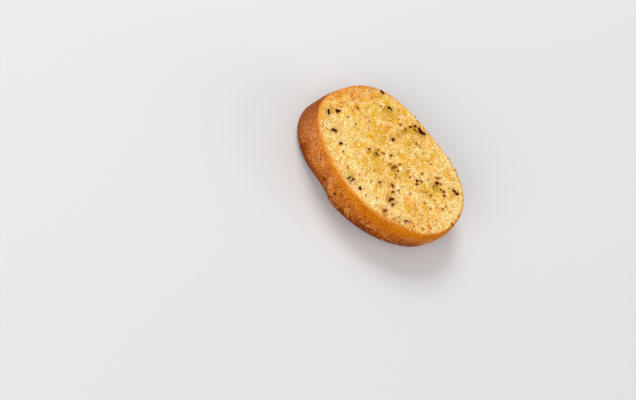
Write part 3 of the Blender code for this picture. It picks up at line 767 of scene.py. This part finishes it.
dried_leaf, _ = speckled("dried_leaf", 0.7, 0.03, (1.0, 0.55, 0.20), (
    ((1, 1, 1), 0.0009, 0.15, (1.3, 1.2, 1.1), (0.6, 0.6, 0.6), 0.8, 0.00006),
))
herb_piece.data.materials.append(dried_leaf)
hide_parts("garlic_bread_slice")
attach(herb_piece, "root")

# ---------------------------------------------------------------------------------------------
# The toasted crumbs and the garlic
# Torn points of crumb that browned first, mostly along the rim, and bits of chopped garlic that
# stuck in the butter. Each kind is one mesh of small, lumpy nuggets sunk halfway into the face.

CRUMBS, CRUMB_SIZE, CRUMBS_AT_RIM = 190, (0.0004, 0.0010), 0.45
GARLIC, GARLIC_SIZE, GARLIC_AT_RIM = 42, (0.0006, 0.0013), 0.1
GARLIC_PLACES = (  # middle x, y, length, width in mm, and turn in degrees
    (12, 6, 5.2, 0.9, 50), (11, 4.6, 3.2, 0.8, 42), (-4.4, -32.6, 2.6, 1.2, 10),
    (-17, -25.4, 2.0, 1.2, 140), (-22.7, 23.3, 2.2, 1.3, 20), (50, 0.2, 2.2, 1.2, 100),
    (46.6, -3.3, 1.8, 1.1, 80), (-29, -10, 1.8, 1.2, 30),
)
NUGGET_CELLS, NUGGET_SPAN = (6, 4), (0.12, 0.88)  # points round and down, and the shares of the way down
NUGGET_SLIMNESS, NUGGET_MARGIN = (0.55, 0.95), 0.93
NUGGET_RISE, NUGGET_SUNK = 0.00035, 0.00015  # the most that half a nugget rises, and how far it is sunk
RIM_STRETCHES, RIM_SHARES = ((130, 230), (-75, -5)), (0.84, 0.95)  # turns along the loaf's end and low side
RUST, HONEY = linear(150, 72, 10), linear(212, 132, 36)
STRAW, IVORY = linear(244, 204, 120), linear(252, 226, 164)


def nuggets(places, seed):
    """Lumpy, flattened balls: a globe swollen by grain, stretched and turned, one for each place."""
    places = np.array(places)
    count, (nu, nv) = len(places), NUGGET_CELLS
    round_by, down_by = np.arange(nu) / nu * 2 * np.pi, np.linspace(*NUGGET_SPAN, nv) * np.pi
    around, over = np.meshgrid(round_by, down_by, indexing="ij")
    globe = np.stack([np.sin(over) * np.cos(around), np.sin(over) * np.sin(around), np.cos(over)], axis=-1)
    globe = np.concatenate([globe.reshape(-1, 3), [[0, 0, 1.0], [0, 0, -1.0]]])[None]
    px, py, length, width, turn = (places[:, n][:, None] for n in range(5))
    which = np.arange(count)[:, None] * 7.0
    swell = 1 + 0.35 * grain(globe[..., 0] * 1.6 + which, globe[..., 1] * 1.6, globe[..., 2] * 1.6, 1.0, seed)
    along, side, rise = (globe[..., n] * swell for n in range(3))
    along, side, rise = along * length / 2, side * width / 2, rise * np.minimum(width * 0.42, NUGGET_RISE)
    height = face_height(px, py) + 0.25 * np.minimum(width, 0.0008) + rise - NUGGET_SUNK
    body_x = px + along * np.cos(turn) - side * np.sin(turn)
    body_y = py + along * np.sin(turn) + side * np.cos(turn)
    body = np.stack([body_x, body_y, np.minimum(height, LEAF_TOP)], axis=-1)
    index = np.arange(nu * nv).reshape(nu, nv)
    after = np.roll(index, -1, axis=0)
    walls = np.stack([index[:, :-1], index[:, 1:], after[:, 1:], after[:, :-1]], axis=-1).reshape(-1, 4)
    top = np.stack([np.full(nu, nu * nv), index[:, 0], after[:, 0]], axis=-1)
    bottom = np.stack([np.full(nu, nu * nv + 1), after[:, -1], index[:, -1]], axis=-1)
    triangles = np.concatenate([walls[:, [0, 1, 2]], walls[:, [0, 2, 3]], top, bottom])
    faces = triangles[None] + (globe.shape[1] * np.arange(count))[:, None, None]
    return body, faces.reshape(-1, 3)


def scattered(count, sizes, at_rim, seed):
    """Drawn places: a share of them near the rim, along two stretches in turn, the rest anywhere."""
    draw = random.Random(seed)
    places = []
    for n in range(count):
        x, y = spot_on_face(draw, NUGGET_MARGIN)
        if n < at_rim * count:
            turn = math.radians(draw.uniform(*RIM_STRETCHES[n % 2]))
            share = draw.uniform(*RIM_SHARES)
            x, y = (share * float(side) for side in outline(np.array(turn)))
        length = draw.uniform(*sizes)
        places.append((x, y, length, length * draw.uniform(*NUGGET_SLIMNESS), draw.uniform(0, math.pi)))
    return places


given = [(*(size / 1000 for size in sizes), math.radians(turn)) for *sizes, turn in GARLIC_PLACES]
crumb_places = scattered(CRUMBS, CRUMB_SIZE, CRUMBS_AT_RIM, SEED + 8)
garlic_places = given + scattered(GARLIC, GARLIC_SIZE, GARLIC_AT_RIM, SEED + 9)
for name, places, dark, light, slot in (
    ("toasted_crumbs", crumb_places, RUST, HONEY, "crust"),
    ("garlic_bits", garlic_places, STRAW, IVORY, "crumb"),
):
    body, faces = nuggets(places, 221)
    shade = np.random.default_rng(SEED + 10).random((len(body), 1)) + 0 * body[..., 0]
    bits = piece(name, body, [faces], blend(dark + 0 * body, light, shade))
    bits_finish, _ = speckled(name, 0.5, 0.2, (1.0, 0.8, 0.5), (
        ((1, 1, 1), 0.0005, 0.15, (1.1, 1.12, 1.2), (0.85, 0.82, 0.75), 0.8, 0.00005),
    ))
    bits.data.materials.append(bits_finish)
    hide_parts("garlic_bread_slice")
    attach(bits, "root")

# ---------------------------------------------------------------------------------------------
# The studio
# A pale floor under plain soft light, and a camera that looks down on the face at the angle at
# which the photograph sees it, rolled so that the slice lies the same way in the picture.

FLOOR_SIZE, FLOOR_GREY = 6.0, 0.69
VIEW_TILT, VIEW_ROLL = 37, 49  # degrees off the face's normal, and round the line of sight
PICTURE_WIDTH, PICTURE_HEIGHT = 636, 400
FOCAL_PIXELS, SCALE = 2102, 1675  # focal length, and pixels for each metre at the face
FACE_SPOT = (390.7, 159.4)  # where the middle of the face lies in the picture
SENSOR = 36.0
LIGHTS = (  # name, direction, distance, size and power
    ("key", (-0.60, 0.35, 0.72), 1.4, 0.6, 10.4),
    ("side", (0.80, 0.50, 0.32), 1.4, 0.8, 6.0),
    ("fill", (-0.1, -0.95, 0.45), 1.6, 1.2, 14),
)
ROOM_LIGHT = 0.5

floor_mesh = bpy.data.meshes.new("floor")
half = FLOOR_SIZE / 2
floor_corners = [(-half, -half, 0), (half, -half, 0), (half, half, 0), (-half, half, 0)]
floor_mesh.from_pydata(floor_corners, [], [(0, 1, 2, 3)])
floor = bpy.data.objects.new("floor", floor_mesh)
bpy.context.scene.collection.objects.link(floor)
pale_floor, surface, _, _ = shader("pale_floor")
surface.inputs["Base Color"].default_value = (FLOOR_GREY, FLOOR_GREY, FLOOR_GREY, 1)
surface.inputs["Roughness"].default_value = 0.9
floor_mesh.materials.append(pale_floor)

# The camera: tilted over the face and rolled, then aimed so that the face lies at its spot
tilt, roll_by = math.radians(VIEW_TILT), math.radians(VIEW_ROLL)
towards = np.array([0, -math.sin(tilt), math.cos(tilt)])
level_right, level_up = np.array([1.0, 0, 0]), np.array([0, math.cos(tilt), math.sin(tilt)])
right = math.cos(roll_by) * level_right + math.sin(roll_by) * level_up
up = math.cos(roll_by) * level_up - math.sin(roll_by) * level_right
face_middle = MOVE + np.array([0, 0, THICKNESS])
eye = face_middle + towards * FOCAL_PIXELS / SCALE
aim_right = (PICTURE_WIDTH / 2 - FACE_SPOT[0]) / SCALE
aim_up = (FACE_SPOT[1] - PICTURE_HEIGHT / 2) / SCALE
aim = face_middle + aim_right * right + aim_up * up
back = (eye - aim) / np.linalg.norm(eye - aim)
true_right = np.cross(up, back)
true_right /= np.linalg.norm(true_right)
true_up = np.cross(back, true_right)

camera = bpy.data.objects.new("camera", bpy.data.cameras.new("camera"))
bpy.context.scene.collection.objects.link(camera)
camera.matrix_world = mathutils.Matrix((*zip(true_right, true_up, back, eye), (0, 0, 0, 1)))
camera.data.sensor_width = SENSOR
camera.data.lens = FOCAL_PIXELS / PICTURE_WIDTH * SENSOR
camera.data.clip_start, camera.data.clip_end = 0.01, 50
bpy.context.scene.camera = camera

# Square soft boxes that face the slice, and an even light from all round
for name, way, distance, size, power in LIGHTS:
    lamp = bpy.data.lights.new(name, "AREA")
    lamp.size, lamp.energy = size, power
    soft_box = bpy.data.objects.new(name, lamp)
    bpy.context.scene.collection.objects.link(soft_box)
    way = mathutils.Vector(way).normalized()
    soft_box.location = way * distance
    soft_box.rotation_euler = way.to_track_quat("Z", "Y").to_euler()
world = bpy.data.worlds.new("studio")
bpy.context.scene.world = world
world.use_nodes = True
world.node_tree.nodes["Background"].inputs["Color"].default_value = (1.0, 1.0, 1.0, 1)
world.node_tree.nodes["Background"].inputs["Strength"].default_value = ROOM_LIGHT
bpy.context.scene.view_settings.view_transform = "Standard"
